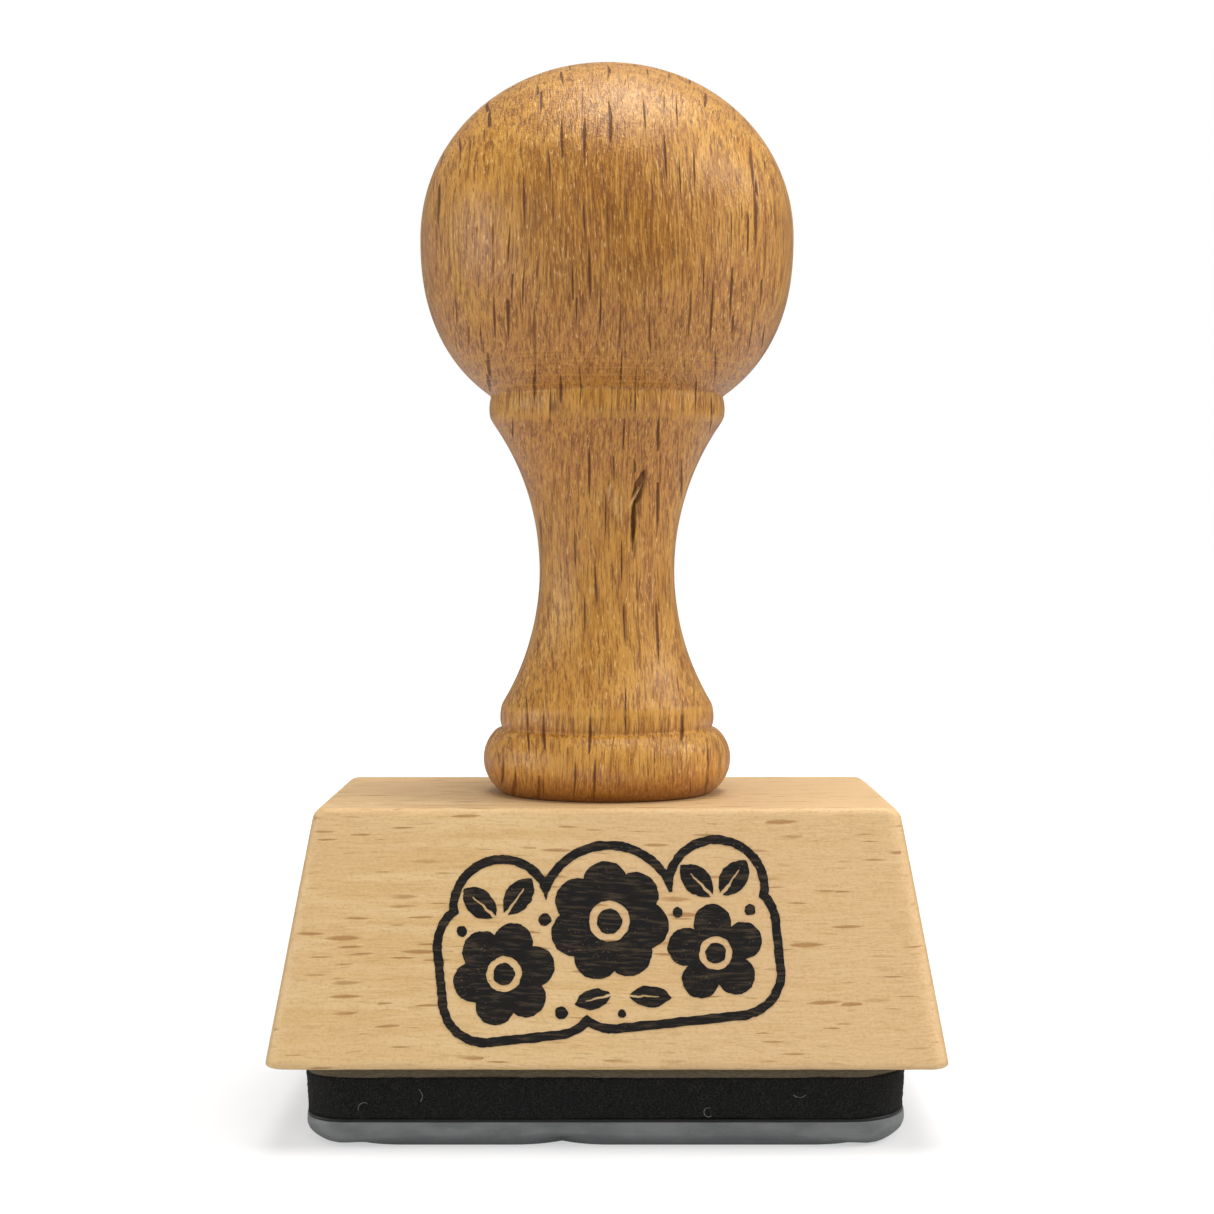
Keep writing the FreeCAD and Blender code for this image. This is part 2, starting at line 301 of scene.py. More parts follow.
def handle_tone(shader, timber, patch):
    """Broad colours: streaks, painted shade on the ball's middle, and rosy patches, stronger where the wood
    faces down as a painted reflection of the floor.
    """
    x, _, z = shader.split(timber.place)
    # Painted shade: a darker oval on the middle of the ball, its rim broken by the streaks.
    across = shader.math("DIVIDE", x, BALL_SHADE_HALF[0])
    up = shader.math("DIVIDE", shader.math("SUBTRACT", z, BALL_SHADE_MIDDLE), BALL_SHADE_HALF[1])
    off = shader.vector("LENGTH", shader.join(across, 0.0, up))
    off = shader.times(timber.streak, 0.8, plus=off)
    colour = shader.tint(GOLD, timber.streak, (0.36, 0.62), GOLD_LIGHT)
    colour = shader.tint(colour, off, (1.35, 0.7), BALL_SHADE)
    mottle = shader.noise(timber.point, (2.4, 2.4, 1.4))
    # Rosy patches: partly the wood's own mottling, and stronger where the wood faces down, as a painted
    # reflection of light from the floor.
    down = shader.times(shader.split(shader.normal())[2], -0.42, plus=patch)
    rose = shader.times(shader.fade(down, 0.46, 0.70), shader.fade(mottle, 0.36, 0.58, 0.45, 1.0))
    return shader.mix(rose, colour, ROSE)


def handle_fibres(shader, timber, thread, patch, colour):
    """The colour with dark and light fibres over it, and with small glints painted in as highlights, most of
    them in patches.
    """
    colour = shader.tint(colour, timber.fibre, (0.51, 0.34), GOLD_DARK, 0.85)
    colour = shader.tint(colour, timber.fibre, (0.50, 0.68), GOLD_LIGHT, 0.72)
    colour = shader.tint(colour, thread, (0.47, 0.32), GOLD_DARK, 0.65)
    colour = shader.tint(colour, thread, (0.53, 0.67), GOLD_LIGHT, 0.6)
    colour = shader.tint(colour, timber.grit, (0.54, 0.70), GOLD_LIGHT, 0.3)
    # Painted highlights: small light glints in the colour.
    glint = shader.grain(timber.point, timber.facing, HANDLE_GLINTS, detail=1.0)
    glint = shader.times(patch, 0.25, plus=glint)
    return shader.tint(colour, glint, (0.74, 0.87), GLINT, 0.6)


def handle_wear(shader, timber, colour):
    """The colour with painted highlight lines on two rims, painted shade at the foot and the torn place,
    whose masks the mesh carries.
    """
    z = shader.split(timber.place)[2]
    # Pale lines along the two rims: painted highlights where the rims catch the light.
    for rim in RIM_HIGHLIGHTS:
        away = shader.math("ABSOLUTE", shader.math("SUBTRACT", z, rim))
        colour = shader.tint(colour, away, (0.5, 0.1), GOLD_LIGHT, 0.4)
    # Painted shade: darker towards the foot, where the bead curves in under itself.
    colour = shader.tint(colour, z, (FOOT + 2.8, FOOT + 0.2), FOOT_SHADE, 0.75)
    uneven = shader.fade(timber.fibre, 0.35, 0.6, 1.0, 0.75)
    colour = shader.mix(shader.times(shader.attribute("wound"), uneven), colour, TORN)
    return shader.mix(shader.attribute("splinter"), colour, SPLINTER)


def lathe_lines(shader, timber):
    """Fine turned lines just above the crease and on the crown, as a height about zero."""
    z = shader.split(timber.place)[2]
    lines = shader.noise(timber.place, (0.06, 0.06, 5.0))
    above = shader.fade(z, CREASE, CREASE + 0.3)
    bands = shader.times(above, shader.fade(z, CREASE + 5.0, CREASE + 1.0))
    bands = shader.math("ADD", shader.fade(z, CREASE + 23.0, CREASE + 28.0), bands)
    return shader.times(shader.math("SUBTRACT", lines, 0.5), bands)


def lacquered_beech():
    shader = Shader("lacquered_beech")
    timber = Timber(shader, "Z", HANDLE_FIBRES)
    patch = shader.noise(timber.point, (0.13, 0.13, 0.07))
    thread = shader.grain(timber.point, timber.facing, HANDLE_THREADS)
    fleck = timber.flecks(HANDLE_LONG_FLECKS, HANDLE_SHORT_FLECKS, 0.6)
    lines = lathe_lines(shader, timber)
    colour = handle_tone(shader, timber, patch)
    colour = handle_fibres(shader, timber, thread, patch, colour)
    colour = shader.mix(shader.times(fleck, 0.97), colour, FLECK_BROWN)
    colour = handle_wear(shader, timber, colour)
    colour = shader.tint(colour, lines, (0.02, 0.15), GOLD_LIGHT, 0.4)
    height = timber.fibre
    for part, share in ((fleck, -0.55), (thread, 0.4), (timber.grit, 0.8), (lines, 0.8)):
        height = shader.times(part, share, plus=height)
    gloss = shader.fade(timber.grit, 0.35, 0.65, 0.34, 0.54)
    gloss = shader.times(shader.attribute("wound"), 0.35, plus=gloss)
    lacquer = shader.times(fleck, -0.4, plus=0.5)
    shader.set(base_color=colour, roughness=gloss, specular_ior_level=0.3)
    shader.set(coat_weight=lacquer, coat_roughness=0.25)
    shader.bump(height, 0.00016)
    shader.bump(height, 0.00007, "Coat Normal")
    return shader.material


# Linear colours of plain beech.
PALE = (0.72, 0.465, 0.200)
PALE_LIGHT = (0.79, 0.55, 0.275)
PALE_DARK = (0.61, 0.365, 0.135)
PALE_PINK = (0.74, 0.49, 0.25)
# Partly painted sheen, for the top.
PALE_TOP_SHEEN = (0.76, 0.54, 0.30)
PALE_FLECK = (0.42, 0.205, 0.060)
PALE_END = (0.62, 0.385, 0.165)
PALE_RING = (0.48, 0.265, 0.095)

# The heart of the tree that the block was sawn from, across and up, and its growth rings' width, in mm.
PITH = (14.0, -46.0)
RING_WIDTH = 2.1
# The sides are paler below this height above the foot, in mm.
PALE_FOOT = 7.0

BLOCK_FIBRES = (3.8, 2.0, 0.45)
BLOCK_LONG_FLECKS = dict(cell=(1.3, 2.4, 4.0), half=(0.24, 2.1, 1.8), ragged=0.4)
BLOCK_SHORT_FLECKS = dict(cell=(0.9, 1.4, 2.2), half=(0.10, 1.1, 0.8), share=0.5, ragged=0.4)


def end_grain_colour(shader, point):
    """Sawn ends: growth rings round the heart, rays that point to it, and fine pores."""
    _, y, z = shader.split(point)
    y, z = shader.math("SUBTRACT", y, PITH[0]), shader.math("SUBTRACT", z, PITH[1])
    radius = shader.vector("LENGTH", shader.join(0.0, y, z))
    turn = shader.times(shader.math("ARCTAN2", y, z), 60.0)
    uneven = shader.noise(point, (0.1, 0.12, 0.12))
    phase = shader.times(radius, 2 * math.pi / RING_WIDTH)
    phase = shader.times(uneven, 12.0, plus=phase)
    ray = shader.noise(shader.join(turn, radius, 0.0), (4.2, 0.28, 1.0))
    pore = shader.noise(point, (3.0, 7.0, 7.0))
    colour = shader.tint(PALE_END, shader.math("SINE", phase), (0.35, 1.0), PALE_RING, 0.5)
    colour = shader.tint(colour, ray, (0.55, 0.68), PALE, 0.7)
    colour = shader.tint(colour, ray, (0.44, 0.34), PALE_RING, 0.5)
    return shader.tint(colour, pore, (0.46, 0.34), PALE_FLECK, 0.5)


def top_streaks(shader, timber, colour):
    """The colour with long streaks on the top and the underside, where facing is 0."""
    course = shader.noise(timber.point, (0.8, 0.8, 0.045), detail=3.0, roughness=0.6)
    there = shader.inverse(timber.facing)
    for span, tone in (((0.47, 0.36), PALE_DARK), ((0.53, 0.64), PALE_LIGHT)):
        share = shader.times(there, shader.fade(course, *span, 0.0, 0.75))
        colour = shader.mix(share, colour, tone)
    return colour


def plain_beech():
    shader = Shader("plain_beech")
    timber = Timber(shader, "X", BLOCK_FIBRES)
    foot = BLOCK_LOW.z / MM
    zone = shader.noise(timber.point, (0.06, 0.06, 0.03))
    colour = shader.tint(PALE, timber.streak, (0.38, 0.64), PALE_LIGHT)
    colour = shader.tint(colour, shader.split(timber.place)[2], (foot + PALE_FOOT, foot), PALE_LIGHT, 0.5)
    # Paler on the top and underside: partly the figure of those faces, partly painted sheen for the grazing
    # reflection of the white surround.
    colour = shader.tint(colour, timber.facing, (1.0, 0.0), PALE_TOP_SHEEN, 0.6)
    colour = top_streaks(shader, timber, colour)
    colour = shader.tint(colour, zone, (0.42, 0.6), PALE_PINK, 0.8)
    colour = shader.tint(colour, timber.fibre, (0.50, 0.32), PALE_DARK, 0.36)
    colour = shader.tint(colour, timber.fibre, (0.54, 0.72), PALE_LIGHT, 0.5)
    colour = shader.tint(colour, timber.grit, (0.47, 0.34), PALE_DARK, 0.4)
    colour = shader.tint(colour, timber.grit, (0.54, 0.68), PALE_LIGHT, 0.4)
    share = shader.times(shader.noise(timber.point, (0.2, 0.2, 0.12)), 3.0, plus=-0.75)
    fleck = timber.flecks({**BLOCK_LONG_FLECKS, "share": share}, BLOCK_SHORT_FLECKS, 0.45)
    fleck = shader.times(fleck, shader.inverse(timber.end_grain))
    colour = shader.mix(shader.times(fleck, 0.85), colour, PALE_FLECK)
    colour = shader.mix(timber.end_grain, colour, end_grain_colour(shader, timber.place))
    height = shader.times(fleck, -0.4, plus=timber.fibre)
    height = shader.times(timber.grit, 0.5, plus=height)
    shader.set(base_color=colour, roughness=shader.fade(timber.fibre, 0.35, 0.65, 0.46, 0.6))
    shader.bump(height, 0.00006)
    return shader.material


# ---- Other materials

INK = (0.006, 0.0048, 0.004)
INK_THIN = (0.052, 0.036, 0.021)
INK_MISSED = (0.22, 0.16, 0.10)


def black_ink():
    """Ink that is thin on the raised fibres, with small missed spots in patches."""
    shader = Shader("black_ink")
    timber = Timber(shader, "X", (4.2, 2.0, 0.45))
    grain = timber.fibre
    speck = shader.noise(timber.point, (7.0, 7.0, 5.0), detail=1.0)
    patch = shader.noise(timber.point, (0.3, 0.3, 0.2), detail=1.0)
    missed = shader.times(shader.fade(speck, 0.66, 0.76), shader.fade(patch, 0.42, 0.6))
    colour = shader.tint(INK, grain, (0.48, 0.66), INK_THIN, 0.9)
    colour = shader.mix(shader.times(missed, 0.55), colour, INK_MISSED)
    shader.set(base_color=colour, roughness=shader.fade(grain, 0.3, 0.7, 0.5, 0.7), specular_ior_level=0.3)
    shader.bump(shader.math("ADD", grain, speck), 0.00003)
    return shader.material


FOAM_HOLLOW = (0.003, 0.003, 0.003)
FOAM_WALL = (0.021, 0.021, 0.020)
FOAM_DUST = (0.35, 0.35, 0.34)
DUST_SPECKS = dict(cell=(1.2, 1.2, 1.2), half=(0.08, 0.08, 0.08), share=0.6)


def black_foam():
    """Foam with fine cut cells, about six to the millimetre, and a few specks of dust."""
    shader = Shader("black_foam")
    point = shader.millimetres()
    distance = shader.node("TexVoronoi", {"Vector": point, "Scale": 6.5}).outputs["Distance"]
    patch = shader.noise(point, (0.8, 0.8, 0.8))
    wall = shader.times(shader.fade(distance, 0.2, 0.75), shader.fade(patch, 0.3, 0.7, 0.5, 1.0))
    colour = shader.mix(wall, FOAM_HOLLOW, FOAM_WALL)
    colour = shader.mix(shader.flecks(point, 1.0, **DUST_SPECKS), colour, FOAM_DUST)
    shader.set(base_color=colour, roughness=shader.fade(patch, 0.3, 0.7, 0.8, 0.95), specular_ior_level=0.25)
    shader.bump(distance, 0.00009)
    return shader.material


RUBBER = (0.140, 0.148, 0.148)
RUBBER_CLOUD = (0.195, 0.204, 0.204)
RUBBER_SCUFF = (0.24, 0.25, 0.26)
# Painted shade, for the flanks that face down.
RUBBER_FLANK_SHADE = (0.115, 0.124, 0.142)
RUBBER_FACE = (0.085, 0.09, 0.097)


def grey_rubber():
    """Cloudy grey rubber, with painted shade, darker and bluer, on the flanks that face down, and darker on
    the printing face.
    """
    shader = Shader("grey_rubber")
    point = shader.millimetres()
    cloud = shader.noise(point, (0.35, 0.35, 0.9), detail=3.0)
    fine = shader.noise(point, (4.0, 4.0, 6.0))
    streak = shader.noise(point, (0.5, 0.5, 9.0), detail=1.0)
    colour = shader.tint(RUBBER, cloud, (0.3, 0.7), RUBBER_CLOUD)
    colour = shader.tint(colour, fine, (0.55, 0.8), RUBBER_SCUFF, 0.4)
    # Painted shade: darker and bluer where the flanks face down.
    colour = shader.tint(colour, shader.split(shader.normal())[2], (-0.1, -0.35), RUBBER_FLANK_SHADE, 0.2)
    colour = shader.tint(colour, shader.split(point)[2], (0.14, 0.03), RUBBER_FACE, 0.75)
    shader.set(base_color=colour, roughness=shader.fade(cloud, 0.3, 0.7, 0.36, 0.5))
    shader.bump(shader.times(streak, 0.5, plus=fine), 0.00002)
    return shader.material


def fine_surface(name, waves, colours, roughness, bump, detail=2.0, span=(0.3, 0.7)):
    """A material of one noise: two colours, a range of roughness, and relief in metres."""
    shader = Shader(name)
    tone = shader.noise(shader.millimetres(), waves, detail)
    shader.set(base_color=shader.mix(shader.fade(tone, *span), *colours))
    shader.set(roughness=shader.fade(tone, 0.3, 0.7, *roughness))
    if bump:
        shader.bump(tone, bump)
    return shader.material


def kraft_tape():
    colours = ((0.075, 0.058, 0.03), (0.16, 0.13, 0.075))
    return fine_surface("kraft_tape", (2.5, 2.5, 14.0), colours, (0.6, 0.8), 0.00004, detail=3.0)


def black_film():
    colours = ((0.004, 0.004, 0.004), (0.012, 0.012, 0.013))
    return fine_surface("black_film", (3.0, 3.0, 8.0), colours, (0.35, 0.55), 0.00002, span=(0.4, 0.8))


def lint():
    colours = ((0.09, 0.09, 0.09), (0.22, 0.22, 0.21))
    return fine_surface("lint", (3.0, 3.0, 3.0), colours, (0.7, 0.9), 0.0)


ZINC = (0.66, 0.63, 0.55)
ZINC_DULL = (0.50, 0.50, 0.50)


def plated_steel():
    shader = Shader("plated_steel")
    point = shader.millimetres()
    stain = shader.noise(point, (0.6, 0.6, 0.6), detail=3.0)
    scratch = shader.noise(point, (1.0, 1.0, 14.0))
    shader.set(base_color=shader.tint(ZINC, stain, (0.35, 0.7), ZINC_DULL), metallic=1.0)
    shader.set(roughness=shader.fade(scratch, 0.3, 0.7, 0.28, 0.45))
    shader.bump(scratch, 0.00002)
    return shader.material


# ---- Mesh helpers


def mesh_object(name, points, faces, material):
    """A smooth-shaded object from points in metres and lists of corner numbers."""
    mesh = bpy.data.meshes.new(name)
    mesh.from_pydata([tuple(p) for p in points], [], [tuple(f) for f in faces])
    mesh.validate()
    mesh.update()
    mesh.materials.append(material)
    mesh.polygons.foreach_set("use_smooth", [True] * len(mesh.polygons))
    return add_object(name, mesh)


def loft(rings):
    """Points and faces through closed rings of equal length. A ring of one point is a pole."""
    points = []
    starts = []
    for ring in rings:
        starts.append(len(points))
        points.extend(ring)
    faces = []
    for k in range(len(rings) - 1):
        a, b = starts[k], starts[k + 1]
        count = max(len(rings[k]), len(rings[k + 1]))
        for j in range(count):
            after = (j + 1) % count
            if len(rings[k]) == 1:
                faces.append((a, b + after, b + j))
            elif len(rings[k + 1]) == 1:
                faces.append((a + j, a + after, b))
            else:
                faces.append((a + j, a + after, b + after, b + j))
    return points, faces


def even_rows(rows, count):
    """The polyline's rows again, at an even step, measured along its first two columns."""
    rows = np.array(rows)
    along = np.concatenate([[0], np.cumsum(np.hypot(*np.diff(rows[:, :2], axis=0).T))])
    even = np.linspace(0, along[-1], count(along[-1]))
    return np.stack([np.interp(even, along, column) for column in rows.T], axis=1)


def wobble(point, waves, amount, seed=0.0):
    """A smooth random number between about -amount and amount. The point is in mm."""
    place = Vector((point[0] * waves + seed, point[1] * waves + seed * 0.7, point[2] * waves - seed))
    return amount * noise.noise(place) * 1.6


# ---- Handle

# Radii and heights in mm above the block's top, as in the design.
BEAD = ((9.7, 0.0), (11.65, 3.1), (10.35, 6.05))
SEAM = ((9.82, 6.12), (9.9, 6.22))
SHOULDER = ((10.06, 6.5), (10.1, 7.2), (10.04, 7.85))
WAIST_RADIUS, WAIST_SWEEP, WAIST_HEIGHT = 6.36, 24.0, 20.95
WAIST_SPAN = (8.35, 34.5)
RING = ((11.02, 35.25), (11.1, 36.1), (11.0, 37.05), (10.82, 37.25))
BALL_RADIUS, BALL_CENTRE = 17.5, 52.0
# Height and fullness of the ball above and below its centre. A fullness of 2 is an ellipse.
BALL_CROWN = (16.2, 2.03)
BALL_UNDERSIDE = (17.55, 2.31)
BALL_START = 37.45
PROFILE_STEP = 0.2
PROFILE_SMOOTHING = 2
HANDLE_SEGMENTS = 200

# Tear-out on the stem: (x, height, half width, half length, lean, depth), in mm. The pale splinter and the
# lifted fibres beside it have the same form, with a rise in place of a depth.
GOUGES = [(2.98, 28.5, 0.62, 1.75, 0.26, 0.50), (2.5, 26.0, 0.28, 2.5, 0.04, 0.34)]
SPLINTERS = [(2.62, 27.75, 0.16, 1.2, 0.62, 0.05)]
LIFTED = [
    (0.25, 28.2, 0.14, 0.9, 0.1, 0.07),
    (0.75, 27.0, 0.14, 1.3, -0.05, 0.08),
    (1.3, 26.4, 0.13, 1.6, 0.0, 0.08),
]
# Where the tear-out lies, in mm of height and as a turn from the front in radians, and how wide and how
# dense the finer mesh is there.
TORN_SPAN = (22.0, 32.0)
TORN_TURN = 0.33
TORN_WIDTH = 0.3
TORN_DENSITY = 4.5


def arc_through(a, b, c, count):
    """Points on the circle through three points, from the first to the last."""
    (ax, ay), (bx, by), (cx, cy) = a, b, c
    d = 2 * (ax * (by - cy) + bx * (cy - ay) + cx * (ay - by))
    sa, sb, sc = ax**2 + ay**2, bx**2 + by**2, cx**2 + cy**2
    ux = (sa * (by - cy) + sb * (cy - ay) + sc * (ay - by)) / d
    uy = (sa * (cx - bx) + sb * (ax - cx) + sc * (bx - ax)) / d
    radius = math.hypot(ax - ux, ay - uy)
    start, end = math.atan2(ay - uy, ax - ux), math.atan2(cy - uy, cx - ux)
    return [(ux + radius * math.cos(t), uy + radius * math.sin(t)) for t in np.linspace(start, end, count)]


def waist_radius(z):
    return WAIST_RADIUS + WAIST_SWEEP - math.sqrt(WAIST_SWEEP**2 - (z - WAIST_HEIGHT) ** 2)


def ball_radius(z):
    height, fullness = BALL_CROWN if z > BALL_CENTRE else BALL_UNDERSIDE
    share = min(abs(z - BALL_CENTRE) / height, 1.0)
    return BALL_RADIUS * (1 - share**fullness) ** (1 / fullness)


def handle_profile():
    """The handle's outline as (radius, height) rows at an even step, with every corner slightly eased."""
    outline = [(0.0, 0.0), *arc_through(*BEAD, 40), *SEAM, *SHOULDER]
    outline.extend((waist_radius(z), z) for z in np.linspace(*WAIST_SPAN, 120))
    outline.extend(RING)
    low = BALL_START - BALL_CENTRE
    rises = [low * math.cos(t) for t in np.linspace(0, math.pi / 2, 80)]
    rises += [BALL_CROWN[0] * math.sin(t) for t in np.linspace(0, math.pi / 2, 110)[1:]]
    outline.extend((ball_radius(BALL_CENTRE + rise), BALL_CENTRE + rise) for rise in rises)
    rows = even_rows(outline, lambda length: int(length / PROFILE_STEP))
    for _ in range(PROFILE_SMOOTHING):
        rows[1:-1] = (rows[:-2] + 2 * rows[1:-1] + rows[2:]) / 4
    return rows


def handle_angles():
    """Angles round the handle, closer together where the stem is torn."""
    fine = np.linspace(0, 2 * math.pi, 4000)
    middle = 1.5 * math.pi + TORN_TURN
    density = 1 + TORN_DENSITY * np.exp(-(((fine - middle) / TORN_WIDTH) ** 2))
    share = np.concatenate([[0], np.cumsum((density[1:] + density[:-1]) / 2)])
    return np.interp(np.linspace(0, share[-1], HANDLE_SEGMENTS + 1)[:-1], share, fine)


def lens(x, z, shape):
    """How far inside the slender lens the point is: 0 outside, 1 on its spine."""
    middle_x, middle_z, half_width, half_length, lean, _ = shape
    up = (z - middle_z) / half_length
    if abs(up) >= 1:
        return 0.0
    ragged = wobble((x, 0, z), 1.6, 0.07, 17.0)
    side = abs(x - middle_x - lean * (z - middle_z) + ragged) / (half_width * (1 - up * up) + 1e-6)
    return max(0.0, 1 - side**2)


def tear_out(x, height):
    """How far the torn place moves the surface outward, in mm, and how raw and how pale it is there."""
    cut = max(lens(x, height, gouge) * gouge[5] for gouge in GOUGES)
    chip = max(lens(x, height, splinter) for splinter in SPLINTERS)
    lift = max(lens(x, height, fibre) * fibre[5] for fibre in LIFTED)
    wound = min(1.0, cut * 3.2) * (1 - chip)
    pale = max(chip, min(0.8, lift * 14))
    return lift - cut * (1 - chip), wound, pale


def turned_handle(material):
    """The handle as a lathe form with slightly uneven walls. Its tear-out is also stored as two masks."""
    rings, wounds, pales = [], [], []
    angles = handle_angles()
    for radius, height in handle_profile():
        ring = []
        for angle in angles if radius > 1e-6 else [0.0]:
            x, y = radius * math.cos(angle), radius * math.sin(angle)
            push = wound = pale = 0.0
            if y < 0 and TORN_SPAN[0] < height < TORN_SPAN[1]:
                push, wound, pale = tear_out(x, height)
            push += wobble((x, y, height), 0.16, 0.02)
            scale = (radius + push) / radius if radius > 1e-6 else 1.0
            ring.append((x * scale * MM, y * scale * MM, (FOOT + height) * MM))
            wounds.append(wound)
            pales.append(pale)
        rings.append(ring)
    points, faces = loft(rings)
    piece = mesh_object("turned_handle", points, faces, material)
    for name, values in (("wound", wounds), ("splinter", pales)):
        layer = piece.data.attributes.new(name, "FLOAT", "POINT")
        layer.data.foreach_set("value", values)
    return piece


# ---- Block

# How far each side leans in from bottom to top, in mm.
BLOCK_TAPER = 4.0
# Radii of the rims, of the top rims at the two ends, and of the upright corners, in mm.
EDGE_RADIUS = 0.5
END_RADIUS = 1.0
CORNER_RADIUS = 1.8
# Distances of the grid's lines from each edge, and the spacing of the others, in mm.
EDGE_STEPS = (0.0, 0.03, 0.1, 0.2, 0.34, 0.55, 0.8, 1.1, 1.45, 1.8)
BLOCK_STEP = 0.8
# What the design's rounded foot takes off each side, in mm. The sharp block that is eased here has it back.
FOOT_EASE = 0.1


def edge_spaced(half):
    """Positions from -half to half, closely spaced where the edges are rounded."""
    inner = half - EDGE_STEPS[-1]
    middle = np.linspace(-inner, inner, int(2 * inner / BLOCK_STEP) + 1)
    rim = half - np.array(EDGE_STEPS[:-1])
    return np.concatenate([-rim, middle, rim[::-1]])


def box_grid(half):
    """Points and outward faces of a closed grid over the six sides of a box."""
    spans = [edge_spaced(h) for h in half]
    index, points, faces = {}, [], []

    def corner(place):
        key = tuple(round(c, 5) for c in place)
        if key not in index:
            index[key] = len(points)
            points.append(np.array(place))
        return index[key]

    for axis, side in itertools.product(range(3), (-1, 1)):
        u, v = [k for k in range(3) if k != axis]
        outward = (side > 0) == (axis != 1)
        for i, j in itertools.product(range(len(spans[u]) - 1), range(len(spans[v]) - 1)):
            quad = []
            for du, dv in ((0, 0), (1, 0), (1, 1), (0, 1)):
                place = [0.0, 0.0, 0.0]
                place[axis] = side * half[axis]
                place[u] = spans[u][i + du]
                place[v] = spans[v][j + dv]
                quad.append(corner(place))
            faces.append(quad if outward else quad[::-1])
    return points, faces


def ease_block(point, half):
    """Moves a point of the sharp-edged box onto the box with round upright corners and eased rims."""
    inner = np.clip(point[:2], CORNER_RADIUS - half[:2], half[:2] - CORNER_RADIUS)
    away = point[:2] - inner
    length = math.hypot(*away)
    if length < 1e-9:
        return np.array(point), None
    outward = away / length
    inset = CORNER_RADIUS - np.abs(away).max()
    drop = half[2] - abs(point[2])
    radius = EDGE_RADIUS
    if point[2] > 0:
        radius += (END_RADIUS - EDGE_RADIUS) * outward[0] ** 2
    if inset < radius and drop < radius:
        corner = np.array([radius - inset, radius - drop])
        corner *= radius / math.hypot(*corner)
        inset, drop = radius - corner
    height = math.copysign(half[2] - drop, point[2])
    return np.array([*(inner + outward * (CORNER_RADIUS - inset)), height]), outward


def rounded_block(material):
    """The tapered block, with eased edges that are worn a little unevenly."""
    size = (BLOCK_HIGH - BLOCK_LOW) / MM
    half = np.array([size.x / 2 + FOOT_EASE, size.y / 2 + FOOT_EASE, size.z / 2])
    middle = np.array([0.0, 0.0, (BLOCK_LOW.z + BLOCK_HIGH.z) / 2 / MM])
    points, faces = box_grid(half)
    shaped = []
    for place in points:
        point, outward = ease_block(place, half)
        if outward is not None:
            rim = half[2] - abs(point[2]) < EDGE_RADIUS
            worn = wobble(point, 0.5, 0.11, 3.0) if rim else wobble(point, 0.12, 0.01, 3.0)
            point[:2] -= outward * max(worn, 0.0)
        rise = (point[2] + half[2]) / (2 * half[2])
        point[:2] *= 1 - rise * BLOCK_TAPER / half[:2]
        shaped.append((point + middle) * MM)
    return mesh_object("beech_block", shaped, faces, material)


# ---- Index print

# The longest edge that the ink's mesh keeps, and how close points are merged, in mm.
PRINT_STEP = 0.32
PRINT_MERGE = 0.0001
# Ways the ink's outline wanders: waves per mm, amount in mm and seed, across and then up the face. The
# second of each pair is drawn out in the direction that it moves in.
SLIP = ((1.9, 0.055, 11.0), (4.5, 0.04, 5.0))
CLIMB = ((1.7, 0.05, 23.0), (4.0, 0.035, 31.0))
DRAWN_OUT = 0.6


def ragged_print(material):
    """The ink of the front face, with the uneven outline that ink takes on open grain."""
    merge = PRINT_MERGE * MM
    grown = bmesh.new()
    grown.from_mesh(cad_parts["index_print"].data)
    bmesh.ops.remove_doubles(grown, verts=grown.verts, dist=merge)
    bmesh.ops.triangulate(grown, faces=grown.faces)
    for _ in range(4):
        long = [edge for edge in grown.edges if edge.calc_length() > PRINT_STEP * MM]
        if not long:
            break
        bmesh.ops.subdivide_edges(grown, edges=long, cuts=1)
        bmesh.ops.triangulate(grown, faces=grown.faces)
    lean = math.atan2(BLOCK_TAPER * MM, (BLOCK_HIGH.z - BLOCK_LOW.z))
    up = Vector((0.0, math.sin(lean), math.cos(lean)))
    for vertex in grown.verts:
        x, _, z = vertex.co / MM
        slip = wobble((x, 0, z), *SLIP[0]) + wobble((x * DRAWN_OUT, 0, z), *SLIP[1])
        climb = wobble((x, 0, z), *CLIMB[0]) + wobble((x, 0, z * DRAWN_OUT), *CLIMB[1])
        vertex.co += (Vector((1, 0, 0)) * slip + up * climb) * MM
    bmesh.ops.dissolve_degenerate(grown, edges=grown.edges, dist=merge)
    bmesh.ops.triangulate(grown, faces=grown.faces)
    mesh = bpy.data.meshes.new("ink_mark")
    grown.to_mesh(mesh)
    grown.free()
    mesh.validate()
    mesh.materials.clear()
    mesh.materials.append(material)
    return add_object("ink_mark", mesh)


# ---- Pad layers

# Corner radii of the cut pad, in mm.
PAD_CORNER_LEFT = 4.2
PAD_CORNER_RIGHT = 6.2
# How much narrower the foam is on each side at its foot, in mm.
FOAM_DRAFT = 0.2
FOAM_STEP = 0.16
STRIP_STEP = 0.3

# Lint on the foam's front: (x, height, first and last angle in degrees, radius), in mm.
LINT = [
    (-21.3, 3.5, 200, 60, 0.55),
    (-16.9, 4.6, 60, -40, 0.7),
    (8.9, 3.2, 320, 60, 0.4),
    (16.9, 5.2, 220, 320, 0.7),
]
LINT_RADIUS = 0.03
LINT_SIDES = 5
LINT_STEPS = 18


